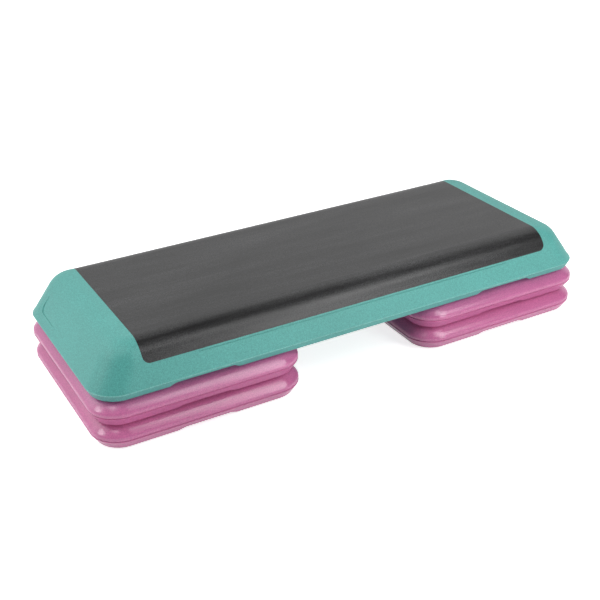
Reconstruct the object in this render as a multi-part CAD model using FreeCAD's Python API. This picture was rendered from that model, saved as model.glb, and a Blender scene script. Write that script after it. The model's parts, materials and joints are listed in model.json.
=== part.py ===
# Aerobic step platform: a hollow deck with a tread mat on two stacks of two risers.
# Millimetres, +X along the deck, +Z up, resting on the floor at Z = 0.
import math
import os

import FreeCAD
import Part

Vector = FreeCAD.Vector

# Deck
deck_length = 1126.0
deck_width = 437.0
deck_height = 96.5
deck_corner_radius = 61.0
deck_top_corner_radius = 50.0
deck_shoulder_radius = 53.0
deck_side_lean_degrees = 17.0
deck_end_lean_degrees = 33.0
deck_rim_height = 16.0
deck_rim_tuck = 8.0
deck_rim_ledge = 1.2
deck_rim_lip_round_share = 0.9
deck_wall = 4.0

# Shallow panel in each end slope, deepest at one lower corner and fading out of the face from there
panel_depth = 1.2
panel_fade_share = 0.42
panel_corner_radius = 12.0
panel_low_width_share = 0.65
panel_high_width_share = 0.6
panel_low_height_share = 0.35
panel_slope_share = 0.48

# Tread mat
mat_thickness = 3.0
mat_end_inset = 99.5
mat_drop = 38.5
mat_corner_radius = 14.0

# Line moulded into the deck below the mat's long edges
line_width = 1.2
line_depth = 1.0
line_gap = 3.5
line_end_inset = 108.0

# Risers
riser_length = 430.0
riser_height = 50.0
riser_end_overhang = 2.0
riser_side_overhang = 3.5
riser_corner_radius = 60.0
riser_body_lean_degrees = 17.0
riser_waist_height = 28.0
riser_waist_round_share = 0.8
riser_shoulder_inset = 22.0
riser_shoulder_round_share = 0.65
riser_parting_height = 20.5
riser_parting_lip = 0.6
riser_groove_width = 2.4
riser_groove_depth = 1.6
riser_tuck = 12.5
riser_wall = 3.5

# Edges along the underside of every shell
bottom_edge_radius = 4.0

# Push-in rubber feet
foot_radius = 17.0
foot_drop = 3.0
foot_edge_radius = 1.0
foot_stem_radius = 5.0
foot_stem_clearance = 0.2
foot_barb_radius = 6.5
foot_barb_height = 6.0
foot_grip_gap = 0.3
foot_inset = 71.0

# Sockets in a riser's top for the feet above
socket_clearance = 1.0
socket_gap = 1.0

# Hand-holds in the lower rims
deck_grip_length = 146.0
deck_grip_height = 9.0
deck_grip_ramp = 14.0
riser_grip_length = 128.0
riser_grip_height = 7.0
riser_grip_ramp = 17.0
grip_depth = 38.0
grip_corner_radius = 12.0

# Tack-off cones that tie the underside to the top skin
cone_mouth_radius = 20.0
cone_tip_radius = 9.0
cone_rows_share = 0.43
deck_cone_columns = 5
deck_cone_pitch_share = 0.17
riser_cone_columns = 2
riser_cone_pitch_share = 0.35

# Overrun of every cut past the face it opens
overrun = 2.0

# Widest height difference of edges that count as level
level_tolerance = 0.01

side_lean = math.radians(deck_side_lean_degrees)
end_lean = math.radians(deck_end_lean_degrees)
rim_lean = math.atan2(deck_rim_tuck, deck_rim_height)
rim_lip_radius = deck_rim_lip_round_share * deck_rim_ledge * math.tan(math.pi / 4 - rim_lean / 2)
skin = deck_wall + mat_thickness
mat_length = deck_length - 2 * mat_end_inset
mat_edge_height = deck_height - mat_drop
riser_body_lean = math.radians(riser_body_lean_degrees)
riser_body_base = riser_parting_height + riser_groove_width / 2
riser_body_rise = riser_waist_height - riser_body_base
riser_flank_rise = riser_height - riser_waist_height
riser_flank = math.hypot(riser_flank_rise, riser_shoulder_inset)
riser_flank_lean = math.atan2(riser_shoulder_inset, riser_flank_rise)
riser_waist_half_bend = (riser_flank_lean + riser_body_lean) / 2
riser_waist_reach = riser_waist_round_share * riser_body_rise / math.cos(riser_body_lean)
riser_waist_radius = riser_waist_reach / math.tan(riser_waist_half_bend)
riser_waist_stretch = math.cos(riser_waist_half_bend - riser_body_lean) / math.cos(riser_waist_half_bend)
riser_waist_crest = riser_waist_radius * (riser_waist_stretch - 1)
riser_base_inset = riser_body_rise * math.tan(riser_body_lean) - riser_waist_crest
riser_parting_inset = riser_base_inset - riser_parting_lip
riser_top_radius = riser_shoulder_round_share * riser_flank / math.tan(math.pi / 4 - riser_flank_lean / 2)
riser_width = deck_width + 2 * riser_side_overhang
riser_spread = deck_length + 2 * riser_end_overhang - riser_length
foot_pitch_length = riser_length - 2 * foot_inset
foot_pitch_width = riser_width - 2 * foot_inset
lower_riser_base = foot_drop
upper_riser_base = lower_riser_base + riser_height
deck_base = upper_riser_base + riser_height


def rounded_wire(length, width, radius, z):
    """Closed rounded rectangle centred on the Z axis."""
    x, y = length / 2, width / 2
    cx, cy = x - radius, y - radius
    diagonal = radius * math.sqrt(0.5)
    edges = []
    for sx, sy, along_x in ((1, -1, True), (1, 1, False), (-1, 1, True), (-1, -1, False)):
        if along_x:
            edges.append(Part.makeLine(Vector(-sx * cx, sy * y, z), Vector(sx * cx, sy * y, z)))
            start, end = Vector(sx * cx, sy * y, z), Vector(sx * x, sy * cy, z)
        else:
            edges.append(Part.makeLine(Vector(sx * x, -sy * cy, z), Vector(sx * x, sy * cy, z)))
            start, end = Vector(sx * x, sy * cy, z), Vector(sx * cx, sy * y, z)
        middle = Vector(sx * (cx + diagonal), sy * (cy + diagonal), z)
        edges.append(Part.Arc(start, middle, end).toShape())
    return Part.Wire(edges)


def ruled_block(low, high):
    """Solid between two rounded rectangles, each given as length, width, radius and height."""
    return Part.makeLoft([rounded_wire(*low), rounded_wire(*high)], True, True)


def edges_at(shape, z):
    """Edges of a shape that lie wholly at one height."""
    edges = []
    for edge in shape.Edges:
        box = edge.BoundBox
        if max(abs(box.ZMin - z), abs(box.ZMax - z)) < level_tolerance:
            edges.append(edge)
    return edges


def deck_section(inset, z):
    """Rounded rectangle of the deck's slopes at a height, moved inwards square to each slope."""
    rise = z - deck_rim_height
    blend = rise / (deck_height - deck_rim_height)
    radius = deck_corner_radius + blend * (deck_top_corner_radius - deck_corner_radius)
    length = deck_length - 2 * (deck_rim_ledge + rise * math.tan(end_lean) + inset / math.cos(end_lean))
    width = deck_width - 2 * (deck_rim_ledge + rise * math.tan(side_lean) + inset / math.cos(side_lean))
    return length, width, radius - inset, z


def deck_slopes(inset):
    """Upper deck above its rim, with rounded shoulders, moved inwards by an inset."""
    top = deck_height - inset
    block = ruled_block(deck_section(inset, deck_rim_height), deck_section(inset, top))
    return block.makeFillet(deck_shoulder_radius - inset, edges_at(block, top))


def rim_section(inset, z):
    """Rounded rectangle of the deck's rim, which tucks in towards the floor."""
    tuck = deck_rim_tuck * (1 - z / deck_rim_height) + inset
    return deck_length - 2 * tuck, deck_width - 2 * tuck, deck_corner_radius - tuck, z


def deck_outer():
    """Deck as a full solid, before hollowing."""
    rim = ruled_block(rim_section(0, 0), rim_section(0, deck_rim_height))
    rim = rim.makeFillet(bottom_edge_radius, edges_at(rim, 0))
    rim = rim.makeFillet(rim_lip_radius, edges_at(rim, deck_rim_height))
    return rim.fuse(deck_slopes(0)).removeSplitter()


def deck_cavity():
    """Room inside the deck: a skin deep enough for the mat above, one wall below."""
    low = ruled_block(rim_section(skin, deck_wall), rim_section(skin, deck_rim_height))
    return low.fuse(deck_slopes(skin)).removeSplitter()


def mat_region():
    """Block that bounds the mat: straight ends and rounded lower corners, seen from the front."""
    half = mat_length / 2
    low = mat_edge_height
    high = deck_height + overrun
    radius = mat_corner_radius
    diagonal = radius * (1 - math.sqrt(0.5))
    points = [Vector(-half, 0, high), Vector(-half, 0, low + radius)]
    points += [Vector(-half + diagonal, 0, low + diagonal), Vector(-half + radius, 0, low)]
    points += [Vector(half - radius, 0, low), Vector(half - diagonal, 0, low + diagonal)]
    points += [Vector(half, 0, low + radius), Vector(half, 0, high)]
    edges = [Part.makeLine(points[0], points[1]), Part.Arc(*points[1:4]).toShape()]
    edges += [Part.makeLine(points[3], points[4]), Part.Arc(*points[4:7]).toShape()]
    edges += [Part.makeLine(points[6], points[7]), Part.makeLine(points[7], points[0])]
    face = Part.Face(Part.Wire(edges))
    face.translate(Vector(0, -deck_width / 2, 0))
    return face.extrude(Vector(0, deck_width, 0))


def mat_solid():
    """Tread mat: the outer layer of the deck inside the mat's region."""
    layer = deck_slopes(0).cut(deck_slopes(mat_thickness))
    return layer.common(mat_region())


def end_panel(side):
    """Shallow cutter for the panel on one end slope; side is -1 or 1."""
    half_low = deck_width * panel_low_width_share / 2
    half_high = deck_width * panel_high_width_share / 2
    low = deck_height * panel_low_height_share
    rise = deck_height * panel_slope_share
    points = []
    for y, z in ((-half_low, 0), (half_low, 0), (half_high, rise), (-half_high, rise), (-half_low, 0)):
        fade = (half_low + y) / (2 * half_low * panel_fade_share) + z / rise
        points.append(Vector(panel_depth * (fade - 1), y, z))
    plate = Part.Face(Part.makePolygon(points)).extrude(Vector(panel_depth + overrun, 0, 0))
    corners = [e for e in plate.Edges if e.BoundBox.YLength + e.BoundBox.ZLength < level_tolerance]
    plate = plate.makeFillet(panel_corner_radius, corners)
    plate.rotate(Vector(0, 0, 0), Vector(0, 1, 0), -deck_end_lean_degrees)
    length = deck_section(0, low)[0]
    plate.translate(Vector(length / 2, 0, low))
    if side < 0:
        plate.rotate(Vector(0, 0, 0), Vector(0, 0, 1), 180)
    return plate


def mat_lines():
    """Cutter for the lines below the mat's long edges."""
    low = mat_edge_height - line_gap - line_width
    length = mat_length - 2 * line_end_inset
    slab = Part.makeBox(length, deck_width, line_width, Vector(-length / 2, -deck_width / 2, low))
    return slab.cut(deck_slopes(line_depth))


def grip_block(half, run, height, depth, face_y):
    """Hand-hold up from the underside and in from a long side; run is how far a ramp goes in per rise."""
    low, high = half + run * overrun, half - run * height
    points = [Vector(-low, 0, -overrun), Vector(low, 0, -overrun), Vector(high, 0, height)]
    points += [Vector(-high, 0, height), Vector(-low, 0, -overrun)]
    face = Part.Face(Part.makePolygon(points))
    face.translate(Vector(0, face_y - overrun, 0))
    block = face.extrude(Vector(0, depth + overrun, 0))
    corners = [e for e in edges_at(block, height) if e.BoundBox.XLength < level_tolerance]
    return block.makeFillet(grip_corner_radius, corners)


def grip_pair(length, height, ramp, width, wall, x):
    """Hand-holds on both long sides at one place, each with the block that holds its walls."""
    half, run = length / 2, ramp / height
    outer_half = half + wall * math.hypot(ramp, height) / height
    pairs = []
    for turn in (0, 180):
        void = grip_block(half, run, height, grip_depth, -width / 2)
        walls = grip_block(outer_half, run, height + wall, grip_depth + wall, -width / 2)
        for block in (void, walls):
            block.rotate(Vector(0, 0, 0), Vector(0, 0, 1), turn)
            block.translate(Vector(x, 0, 0))
        pairs.append((void, walls))
    return pairs


def tack_cone(x, y, top, wall):
    """Tack-off cone from the underside up to the top skin, with the cone that holds its wall."""
    base = Vector(x, y, -overrun)
    rise = top - wall + overrun
    void = Part.makeCone(cone_mouth_radius, cone_tip_radius, rise, base)
    walls = Part.makeCone(cone_mouth_radius + wall, cone_tip_radius + wall, rise + wall + overrun, base)
    return void, walls


def spaced(count, pitch):
    """Places in a row centred on zero."""
    return [(i - (count - 1) / 2) * pitch for i in range(count)]


def hollowed(outer, cavity, pockets):
    """Shell with a cavity, and with pockets that open outwards and keep a wall around them."""
    shell = outer.cut(cavity)
    shell = shell.fuse([walls.common(outer) for void, walls in pockets])
    return shell.cut([void for void, walls in pockets]).removeSplitter()


def stem_holes(places, wall):
    """Holes through a shell's underside for the stems of its feet."""
    radius = foot_stem_radius + foot_stem_clearance
    return [Part.makeCylinder(radius, wall + 2 * overrun, Vector(x, y, -overrun)) for x, y in places]


def riser_foot_places():
    """Feet of a riser, and so the sockets above them, around the riser's centre."""
    return [(x, y) for x in spaced(2, foot_pitch_length) for y in spaced(2, foot_pitch_width)]


def deck_foot_places():
    """Feet of the deck, over the outer sockets of the risers."""
    x = riser_spread / 2 + foot_pitch_length / 2
    return [(sx * x, y) for sx in (-1, 1) for y in spaced(2, foot_pitch_width)]


def deck_shell():
    """Hollow deck with hand-holds, tack-offs, stem holes, end panels and the recess for the mat."""
    pockets = []
    for side in (-1, 1):
        x = side * riser_spread / 2
        pockets += grip_pair(deck_grip_length, deck_grip_height, deck_grip_ramp, deck_width, deck_wall, x)
    for x in spaced(deck_cone_columns, deck_length * deck_cone_pitch_share):
        for y in spaced(2, deck_width * cone_rows_share):
            pockets.append(tack_cone(x, y, deck_height - skin, deck_wall))
    shell = hollowed(deck_outer(), deck_cavity(), pockets)
    recess = mat_region().cut(deck_slopes(mat_thickness))
    shell = shell.cut([recess, mat_lines(), end_panel(-1), end_panel(1)])
    return shell.cut(stem_holes(deck_foot_places(), deck_wall))


def riser_section(inset, z):
    """Rounded rectangle of a riser at a height, moved inwards by an inset."""
    return riser_length - 2 * inset, riser_width - 2 * inset, riser_corner_radius - inset, z


def riser_outer():
    """Riser as a full solid: a tucked lower band, a groove along the parting and a rounded body."""
    low = riser_parting_height - riser_groove_width / 2
    lip = riser_section(riser_parting_inset, low)
    groove = riser_section(riser_base_inset + riser_groove_depth, riser_parting_height)
    base = riser_section(riser_base_inset, riser_body_base)
    waist = riser_section(-riser_waist_crest, riser_waist_height)
    band = ruled_block(riser_section(riser_tuck, 0), lip)
    band = band.makeFillet(bottom_edge_radius, edges_at(band, 0))
    flank = ruled_block(waist, riser_section(riser_shoulder_inset - riser_waist_crest, riser_height))
    body = ruled_block(base, waist).fuse(flank).removeSplitter()
    body = body.makeFillet(riser_waist_radius, edges_at(body, riser_waist_height))
    body = body.makeFillet(riser_top_radius, edges_at(body, riser_height))
    return band.fuse([ruled_block(lip, groove), ruled_block(groove, base), body]).removeSplitter()


def riser_cavity():
    """Room inside a riser, one wall in from its faces."""
    draw = riser_tuck - riser_parting_inset
    band_wall = riser_wall * math.hypot(draw, riser_parting_height) / riser_parting_height
    flank_wall = riser_wall * riser_flank / riser_flank_rise - riser_waist_crest
    low_inset = riser_tuck - draw * riser_wall / riser_parting_height + band_wall
    top = riser_height - riser_wall
    top_inset = riser_shoulder_inset * (top - riser_waist_height) / riser_flank_rise + flank_wall
    middle = riser_section(riser_base_inset + riser_groove_depth + band_wall, riser_parting_height)
    waist = riser_section(flank_wall, riser_waist_height)
    low = ruled_block(riser_section(low_inset, riser_wall), middle)
    high = ruled_block(waist, riser_section(top_inset, top))
    high = high.makeFillet(riser_top_radius - riser_wall, edges_at(high, top))
    return low.fuse([ruled_block(middle, waist), high]).removeSplitter()


def socket(x, y):
    """Socket in a riser's top for the foot above, with the cup that holds its wall."""
    depth = foot_drop + socket_gap
    radius = foot_radius + socket_clearance
    floor = riser_height - depth
    void = Part.makeCylinder(radius, depth + overrun, Vector(x, y, floor))
    walls = Part.makeCylinder(radius + riser_wall, depth + riser_wall, Vector(x, y, floor - riser_wall))
    return void, walls


def riser_shell():
    """Hollow riser with hand-holds, tack-offs, stem holes below and sockets above."""
    pockets = grip_pair(riser_grip_length, riser_grip_height, riser_grip_ramp, riser_width, riser_wall, 0)
    for x in spaced(riser_cone_columns, riser_length * riser_cone_pitch_share):
        for y in spaced(2, riser_width * cone_rows_share):
            pockets.append(tack_cone(x, y, riser_height - riser_wall, riser_wall))
    pockets += [socket(x, y) for x, y in riser_foot_places()]
    shell = hollowed(riser_outer(), riser_cavity(), pockets)
    return shell.cut(stem_holes(riser_foot_places(), riser_wall))


def foot(wall):
    """Rubber foot: a pad under the shell, a stem through its wall and a barb inside."""
    pad = Part.makeCylinder(foot_radius, foot_drop, Vector(0, 0, -foot_drop))
    pad = pad.makeFillet(foot_edge_radius, edges_at(pad, -foot_drop))
    grip = wall + foot_grip_gap
    stem = Part.makeCylinder(foot_stem_radius, grip, Vector(0, 0, 0))
    barb = Part.makeCone(foot_barb_radius, foot_stem_radius, foot_barb_height, Vector(0, 0, grip))
    return pad.fuse([stem, barb]).removeSplitter()


def save(shape, name, place):
    """Move a solid to its place and write it as a node."""
    node = shape.copy()
    node.translate(place)
    node.exportStep("parts/" + name + ".step")


def save_feet(owner, places, wall, place):
    """Write the feet of one shell, named by end and side."""
    shape = foot(wall)
    for x, y in places:
        end = "left" if x < 0 else "right"
        edge = "front" if y < 0 else "back"
        save(shape, owner + "_foot_" + end + "_" + edge, place + Vector(x, y, 0))


def main():
    os.makedirs("parts", exist_ok=True)
    deck_place = Vector(0, 0, deck_base)
    save(deck_shell(), "deck_shell", deck_place)
    save(mat_solid(), "top_mat", deck_place)
    save_feet("deck", deck_foot_places(), deck_wall, deck_place)
    riser = riser_shell()
    for side, x in (("left", -riser_spread / 2), ("right", riser_spread / 2)):
        for level, z in (("lower", lower_riser_base), ("upper", upper_riser_base)):
            place = Vector(x, 0, z)
            save(riser, side + "_" + level + "_riser", place)
            save_feet(side + "_" + level, riser_foot_places(), riser_wall, place)


main()
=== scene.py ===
import json
import math

import bpy
from mathutils import Matrix, Vector

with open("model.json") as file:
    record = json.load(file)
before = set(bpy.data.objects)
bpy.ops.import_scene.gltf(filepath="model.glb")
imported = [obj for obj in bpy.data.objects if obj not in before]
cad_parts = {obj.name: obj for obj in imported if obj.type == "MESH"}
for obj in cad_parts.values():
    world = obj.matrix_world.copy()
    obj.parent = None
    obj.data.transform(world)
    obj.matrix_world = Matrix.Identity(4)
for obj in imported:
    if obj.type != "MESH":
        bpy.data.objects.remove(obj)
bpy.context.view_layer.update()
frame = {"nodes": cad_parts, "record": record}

# Camera, from a fit to the photograph's edges, in metres and degrees
CAMERA_PLACE = Vector((-0.9816, -1.7329, 1.1167))
CAMERA_AZIMUTH = -28.754
CAMERA_ELEVATION = 27.634
CAMERA_ROLL = 1.266
FOCAL_PIXELS = 1037.5
IMAGE_PIXELS = 600
SENSOR_MM = 36.0

# Floor, with its glow to the camera and in reflections
FLOOR_RADIUS = 14.0
FLOOR_SIDES = 64
FLOOR_COLOUR = (0.92, 0.92, 0.92, 1.0)
FLOOR_GLOW = 0.75
FLOOR_SHEEN = 0.4

# Studio walls, brighter higher up, with a dark ceiling and a dark front
WALL_GLOW = 0.8
HIGH_WALL_GLOW = 1.25
CEILING_GLOW = 0.15
DARK_SIDE = (0.087, -0.996, 0.0)
WHITE = (1.0, 1.0, 1.0, 1.0)

# Where those fade into each other: the dot product with the dark side, and the height of a unit direction
DARK_SIDE_FADE = (-0.15, 0.15)
HIGH_WALL_FADE = (0.5, 0.62)
CEILING_FADE = (0.8, 0.88)

# Softboxes on a dome: azimuth from the front, span, lower and upper elevation in degrees, glow
DOME_CENTRE = Vector((0.0, 0.0, 0.1))
DOME_RADIUS = 2.6
SOFTBOXES = {
    "key_low": (22.5, 18.0, 0.5, 9.0, 4.8),
    "key_low_right": (52.5, 30.0, 0.5, 9.0, 0.9),
    "key_middle": (22.5, 20.0, 9.0, 33.0, 5.0),
    "key_high": (35.0, 26.0, 33.0, 48.0, 6.2),
    "key_top": (22.5, 30.0, 48.0, 62.0, 4.2),
    "left": (-98.0, 17.0, 19.5, 36.5, 4.8),
    "left_top": (-65.0, 42.0, 48.0, 79.0, 3.3),
    "left_back": (-128.0, 30.0, 14.0, 56.0, 0.9),
}

# Part of a noise's range that the ramps use, and the detail of the finest noises
NOISE_RANGE = (0.3, 0.7)
FINE_DETAIL = 1.0

# Deck: linear colour, noise scales per metre, shades, and bumps as distance in metres and strength
TEAL = (0.099, 0.406, 0.369)
DECK_TONE_SCALE = 5.0
DECK_TONE_SHADES = (0.95, 1.05)
DECK_SPECK_SCALE = 480.0
DECK_SPECK_SHADES = (0.82, 1.18)
DECK_ROUGHNESS_SCALE = 250.0
DECK_ROUGHNESS = (0.44, 0.5)
DECK_PEBBLE_SCALE = 520.0
DECK_PEBBLE_BUMP = (0.0004, 0.4)
DECK_WAVE_SCALE = 7.0
DECK_WAVE_BUMP = (0.002, 0.25)
DECK_SPECULAR = 0.5

# Painted highlight along the lip on the rim of the deck: the lip's height above its base in metres, half
# the painted band's width, and how much paler the painted highlight is
LIP_HEIGHT = 0.0158
LIP_HALF = 0.0007
LIP_PAINTED_HIGHLIGHT = (2.0, 1.27, 1.3, 1.0)

# Risers, in the same order
PINK = (0.625, 0.180, 0.378)
RISER_TONE_SCALE = 8.0
RISER_TONE_SHADES = (0.95, 1.05)
RISER_SPECK_SCALE = 480.0
RISER_SPECK_SHADES = (0.88, 1.12)
RISER_ROUGHNESS_SCALE = 90.0
RISER_ROUGHNESS = (0.15, 0.2)
RISER_GRAIN_SCALE = 500.0
RISER_GRAIN_BUMP = (0.0003, 0.4)
RISER_WAVE_SCALE = 9.0
RISER_WAVE_BUMP = (0.0015, 0.25)
RISER_SPECULAR = 0.65

# Mat, with streaks and clouds stretched along the deck, each with its detail and roughness
CHARCOAL = (0.024, 0.024, 0.025)
MAT_STREAK_STRETCH = (5.0, 110.0, 110.0)
MAT_STREAK_NOISE = (3.0, 0.6)
MAT_STREAK_SHADES = (0.6, 1.4)
MAT_STREAK_BUMP = (0.0004, 0.12)
MAT_CLOUD_STRETCH = (2.4, 15.0, 15.0)
MAT_CLOUD_NOISE = (3.0, 0.55)
MAT_CLOUD_SHADES = (0.5, 1.5)
MAT_CLOUD_RANGE = (0.33, 0.67)
MAT_GRAIN_SCALE = 480.0
MAT_GRAIN_SHADES = (0.2, 1.7)
MAT_GRAIN_BUMP = (0.0003, 0.4)
MAT_ROUGHNESS = (0.29, 0.38)
MAT_SPECULAR = 0.5

# Feet
BLACK = (0.022, 0.022, 0.023)
FOOT_TONE_SCALE = 60.0
FOOT_TONE_SHADES = (0.8, 1.3)
FOOT_ROUGHNESS_SCALE = 200.0
FOOT_ROUGHNESS = (0.6, 0.75)
FOOT_GRAIN_SCALE = 800.0
FOOT_GRAIN_BUMP = (0.0002, 0.4)

# Sockets of the mix node: factor, its two numbers, its two colours, and its colour result
MIX_FACTOR = 0
MIX_NUMBERS = (2, 3)
MIX_COLOURS = (6, 7)
MIX_COLOUR_OUT = 2


def shades(colour, factors):
    """A colour in a darker and a lighter shade."""
    return [tuple(min(1.0, c * factor) for c in colour) + (1.0,) for factor in factors]


def greys(levels):
    """Two greys to multiply a colour by."""
    return [(level, level, level, 1.0) for level in levels]


class Graph:
    """Short way to build a node material."""

    def __init__(self, name):
        self.material = bpy.data.materials.new(name)
        self.material.use_nodes = True
        self.nodes = self.material.node_tree.nodes
        self.links = self.material.node_tree.links
        self.shader = self.nodes["Principled BSDF"]

    def add(self, kind, **values):
        """New node with its properties or inputs set."""
        node = self.nodes.new(kind)
        for key, value in values.items():
            if hasattr(node, key):
                setattr(node, key, value)
            else:
                node.inputs[key].default_value = value
        return node

    def join(self, source, target):
        self.links.new(source, target)

    def place(self, stretch=(1.0, 1.0, 1.0)):
        """Object coordinates in metres, stretched along the axes."""
        coordinates = self.add("ShaderNodeTexCoord")
        mapping = self.add("ShaderNodeMapping", Scale=stretch)
        self.join(coordinates.outputs["Object"], mapping.inputs["Vector"])
        return mapping.outputs["Vector"]

    def noise(self, vector, scale, detail=2.0, roughness=0.5):
        node = self.add("ShaderNodeTexNoise", Scale=scale, Detail=detail, Roughness=roughness)
        self.join(vector, node.inputs["Vector"])
        return node.outputs["Fac"]

    def cells(self, vector, scale):
        node = self.add("ShaderNodeTexVoronoi", feature="SMOOTH_F1", Scale=scale)
        self.join(vector, node.inputs["Vector"])
        return node.outputs["Distance"]

    def band(self, vector, height, half):
        """One within half of a height, zero elsewhere."""
        split = self.add("ShaderNodeSeparateXYZ")
        self.join(vector, split.inputs["Vector"])
        node = self.add("ShaderNodeMath", operation="COMPARE")
        level, middle, reach = node.inputs
        middle.default_value = height
        reach.default_value = half
        self.join(split.outputs["Z"], level)
        return node.outputs["Value"]

    def ramp(self, source, colours, reach=(0.0, 1.0)):
        """Colour between two, across a range of the source."""
        node = self.add("ShaderNodeValToRGB")
        for stop, colour, position in zip(node.color_ramp.elements, colours, reach):
            stop.color = colour
            stop.position = position
        self.join(source, node.inputs["Fac"])
        return node.outputs["Color"]

    def spread(self, source, values, reach=(0.0, 1.0)):
        """Number between two, across a range of the source."""
        node = self.add("ShaderNodeMapRange")
        node.inputs["From Min"].default_value, node.inputs["From Max"].default_value = reach
        node.inputs["To Min"].default_value, node.inputs["To Max"].default_value = values
        self.join(source, node.inputs["Value"])
        return node.outputs["Result"]

    def multiply(self, first, second):
        node = self.add("ShaderNodeMix", data_type="RGBA", blend_type="MULTIPLY")
        node.inputs[MIX_FACTOR].default_value = 1.0
        for colour, socket in zip((first, second), MIX_COLOURS):
            self.join(colour, node.inputs[socket])
        return node.outputs[MIX_COLOUR_OUT]

    def bump(self, height, size, below=None):
        """Normal raised by a height, on top of another normal."""
        distance, strength = size
        node = self.add("ShaderNodeBump", Distance=distance, Strength=strength)
        self.join(height, node.inputs["Height"])
        if below is not None:
            self.join(below, node.inputs["Normal"])
        return node.outputs["Normal"]

    def finish(self, colour, roughness, normal):
        """Join the three results to the shader."""
        self.join(colour, self.shader.inputs["Base Color"])
        self.join(roughness, self.shader.inputs["Roughness"])
        self.join(normal, self.shader.inputs["Normal"])
        return self.material


def deck_plastic():
    """Teal blow-moulded plastic with a fine pebble grain, and a painted highlight along the lip of its
    rim.
    """
    g = Graph("deck_plastic")
    place = g.place()
    tone = g.ramp(g.noise(place, DECK_TONE_SCALE), shades(TEAL, DECK_TONE_SHADES), NOISE_RANGE)
    fine = g.noise(place, DECK_SPECK_SCALE, FINE_DETAIL)
    speck = g.ramp(fine, greys(DECK_SPECK_SHADES), NOISE_RANGE)
    base = min(corner[2] for corner in frame["nodes"]["deck_shell"].bound_box)
    # painted highlight: a paler band of colour along the lip of the rim, standing in for the light the
    # lip catches
    painted_highlight = g.ramp(g.band(place, base + LIP_HEIGHT, LIP_HALF), (WHITE, LIP_PAINTED_HIGHLIGHT))
    colour = g.multiply(g.multiply(tone, speck), painted_highlight)
    roughness = g.spread(g.noise(place, DECK_ROUGHNESS_SCALE), DECK_ROUGHNESS)
    pebbles = g.bump(g.cells(place, DECK_PEBBLE_SCALE), DECK_PEBBLE_BUMP)
    waves = g.bump(g.noise(place, DECK_WAVE_SCALE), DECK_WAVE_BUMP, pebbles)
    g.shader.inputs["Specular IOR Level"].default_value = DECK_SPECULAR
    return g.finish(colour, roughness, waves)


def riser_plastic():
    """Satin pink plastic, smoother than the deck."""
    g = Graph("riser_plastic")
    place = g.place()
    tone = g.ramp(g.noise(place, RISER_TONE_SCALE), shades(PINK, RISER_TONE_SHADES), NOISE_RANGE)
    fine = g.noise(place, RISER_SPECK_SCALE, FINE_DETAIL)
    speck = g.ramp(fine, greys(RISER_SPECK_SHADES), NOISE_RANGE)
    roughness = g.spread(g.noise(place, RISER_ROUGHNESS_SCALE), RISER_ROUGHNESS)
    grain = g.bump(g.noise(place, RISER_GRAIN_SCALE, FINE_DETAIL), RISER_GRAIN_BUMP)
    waves = g.bump(g.noise(place, RISER_WAVE_SCALE), RISER_WAVE_BUMP, grain)
    g.shader.inputs["Specular IOR Level"].default_value = RISER_SPECULAR
    return g.finish(g.multiply(tone, speck), roughness, waves)


def mat_rubber():
    """Charcoal tread rubber with a fine grain, faint streaks along the deck and soft clouds."""
    g = Graph("mat_rubber")
    streaks = g.noise(g.place(MAT_STREAK_STRETCH), 1.0, *MAT_STREAK_NOISE)
    clouds = g.noise(g.place(MAT_CLOUD_STRETCH), 1.0, *MAT_CLOUD_NOISE)
    grain = g.noise(g.place(), MAT_GRAIN_SCALE, FINE_DETAIL)
    tone = g.ramp(streaks, shades(CHARCOAL, MAT_STREAK_SHADES), NOISE_RANGE)
    cloud = g.ramp(clouds, greys(MAT_CLOUD_SHADES), MAT_CLOUD_RANGE)
    speck = g.ramp(grain, greys(MAT_GRAIN_SHADES), NOISE_RANGE)
    colour = g.multiply(g.multiply(tone, cloud), speck)
    roughness = g.spread(streaks, MAT_ROUGHNESS, NOISE_RANGE)
    tread = g.bump(streaks, MAT_STREAK_BUMP, g.bump(grain, MAT_GRAIN_BUMP))
    g.shader.inputs["Specular IOR Level"].default_value = MAT_SPECULAR
    return g.finish(colour, roughness, tread)


def foot_rubber():
    """Black moulded rubber."""
    g = Graph("foot_rubber")
    place = g.place()
    tone = g.ramp(g.noise(place, FOOT_TONE_SCALE), shades(BLACK, FOOT_TONE_SHADES), NOISE_RANGE)
    roughness = g.spread(g.noise(place, FOOT_ROUGHNESS_SCALE), FOOT_ROUGHNESS)
    grain = g.bump(g.noise(place, FOOT_GRAIN_SCALE), FOOT_GRAIN_BUMP)
    return g.finish(tone, roughness, grain)


def dress_nodes():
    """Give every CAD node the material of its slot."""
    made = {make.__name__: make() for make in (deck_plastic, riser_plastic, mat_rubber, foot_rubber)}
    slots = {part["node"]: part["material_slot"] for part in frame["record"]["subparts"]}
    for name, node in frame["nodes"].items():
        node.data.materials.clear()
        node.data.materials.append(made[slots[name]])


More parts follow.
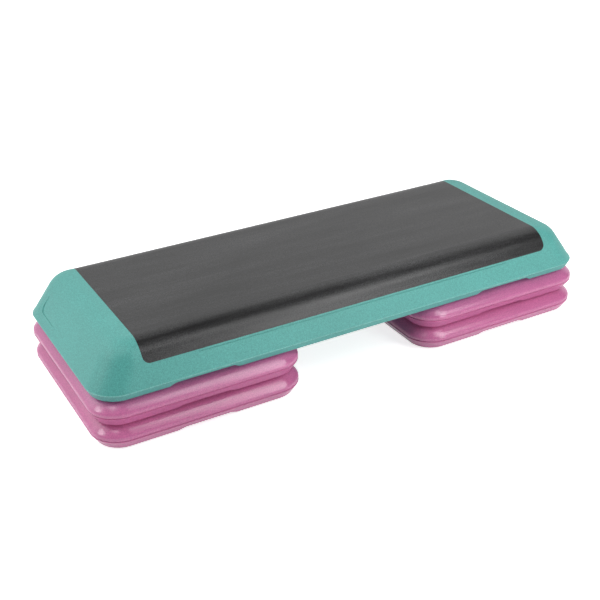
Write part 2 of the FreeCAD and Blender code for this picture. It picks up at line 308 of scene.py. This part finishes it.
def make_floor():
    """Pale matt floor that the camera sees as white, with the object's shadow on it."""
    g = Graph("studio_floor")
    g.nodes.remove(g.shader)
    matt = g.add("ShaderNodeBsdfDiffuse", Color=FLOOR_COLOUR)
    glow = g.add("ShaderNodeEmission")
    path = g.add("ShaderNodeLightPath")
    mirrored = g.add("ShaderNodeMath", operation="MULTIPLY")
    mirrored.inputs[1].default_value = FLOOR_SHEEN
    g.join(path.outputs["Is Glossy Ray"], mirrored.inputs[0])
    strength = g.add("ShaderNodeMath", operation="MULTIPLY_ADD")
    strength.inputs[1].default_value = FLOOR_GLOW
    g.join(path.outputs["Is Camera Ray"], strength.inputs[0])
    g.join(mirrored.outputs["Value"], strength.inputs[2])
    g.join(strength.outputs["Value"], glow.inputs["Strength"])
    both = g.add("ShaderNodeAddShader")
    g.join(matt.outputs["BSDF"], both.inputs[0])
    g.join(glow.outputs["Emission"], both.inputs[1])
    g.join(both.outputs["Shader"], g.nodes["Material Output"].inputs["Surface"])
    bpy.ops.mesh.primitive_circle_add(vertices=FLOOR_SIDES, radius=FLOOR_RADIUS, fill_type="NGON")
    floor = bpy.context.object
    floor.name = "floor"
    floor.data.materials.append(g.material)


def make_world():
    """White studio walls with a dark ceiling and a dark front, seen by the camera as white."""
    world = bpy.data.worlds.new("studio")
    bpy.context.scene.world = world
    world.use_nodes = True
    nodes, links = world.node_tree.nodes, world.node_tree.links

    def fade(source, reach, values):
        node = nodes.new("ShaderNodeMapRange")
        node.interpolation_type = "SMOOTHSTEP"
        node.inputs["From Min"].default_value, node.inputs["From Max"].default_value = reach
        node.inputs["To Min"].default_value, node.inputs["To Max"].default_value = values
        links.new(source, node.inputs["Value"])
        return node.outputs["Result"]

    def mix(factor, first, second):
        node = nodes.new("ShaderNodeMix")
        links.new(factor, node.inputs[MIX_FACTOR])
        links.new(first, node.inputs[MIX_NUMBERS[0]])
        node.inputs[MIX_NUMBERS[1]].default_value = second
        return node.outputs["Result"]

    direction = nodes.new("ShaderNodeTexCoord").outputs["Generated"]
    split = nodes.new("ShaderNodeSeparateXYZ")
    links.new(direction, split.inputs["Vector"])
    facing = nodes.new("ShaderNodeVectorMath")
    facing.operation = "DOT_PRODUCT"
    facing.inputs[1].default_value = DARK_SIDE
    links.new(direction, facing.inputs[0])
    behind = fade(facing.outputs["Value"], DARK_SIDE_FADE, (1.0, 0.0))
    height = fade(split.outputs["Z"], HIGH_WALL_FADE, (WALL_GLOW, HIGH_WALL_GLOW))
    walls = nodes.new("ShaderNodeMath")
    walls.operation = "MULTIPLY"
    links.new(behind, walls.inputs[0])
    links.new(height, walls.inputs[1])
    above = fade(split.outputs["Z"], CEILING_FADE, (0.0, 1.0))
    studio = mix(above, walls.outputs["Value"], CEILING_GLOW)
    path = nodes.new("ShaderNodeLightPath")
    seen = mix(path.outputs["Is Camera Ray"], studio, 1.0)
    links.new(seen, nodes["Background"].inputs["Strength"])
    nodes["Background"].inputs["Color"].default_value = WHITE


def make_softbox(name, azimuth, span, low, high, glow):
    """Rectangular softbox that covers a span of the dome and glows evenly."""
    turn, rise = math.radians(azimuth), math.radians((low + high) / 2)
    level = math.cos(rise)
    out = Vector((math.sin(turn) * level, -math.cos(turn) * level, math.sin(rise)))
    data = bpy.data.lights.new(name, "AREA")
    data.shape = "RECTANGLE"
    data.size = 2 * DOME_RADIUS * level * math.tan(math.radians(span) / 2)
    data.size_y = 2 * DOME_RADIUS * math.tan(math.radians(high - low) / 2)
    data.energy = glow * math.pi * data.size * data.size_y
    lamp = bpy.data.objects.new(name, data)
    bpy.context.collection.objects.link(lamp)
    lamp.location = DOME_CENTRE + out * DOME_RADIUS
    lamp.rotation_euler = (-out).to_track_quat("-Z", "Y").to_euler()
    lamp.visible_camera = False


def make_camera():
    """Camera where the photograph was taken from."""
    data = bpy.data.cameras.new("camera")
    data.sensor_width = SENSOR_MM
    data.lens = SENSOR_MM * FOCAL_PIXELS / IMAGE_PIXELS
    camera = bpy.data.objects.new("camera", data)
    bpy.context.collection.objects.link(camera)
    turn = Matrix.Rotation(math.radians(CAMERA_AZIMUTH), 4, "Z")
    tilt = Matrix.Rotation(math.pi / 2 - math.radians(CAMERA_ELEVATION), 4, "X")
    roll = Matrix.Rotation(math.radians(-CAMERA_ROLL), 4, "Z")
    camera.matrix_world = Matrix.Translation(CAMERA_PLACE) @ turn @ tilt @ roll
    bpy.context.scene.camera = camera


dress_nodes()
make_floor()
make_world()
for name, values in SOFTBOXES.items():
    make_softbox(name, *values)
make_camera()
bpy.context.scene.view_settings.view_transform = "Standard"
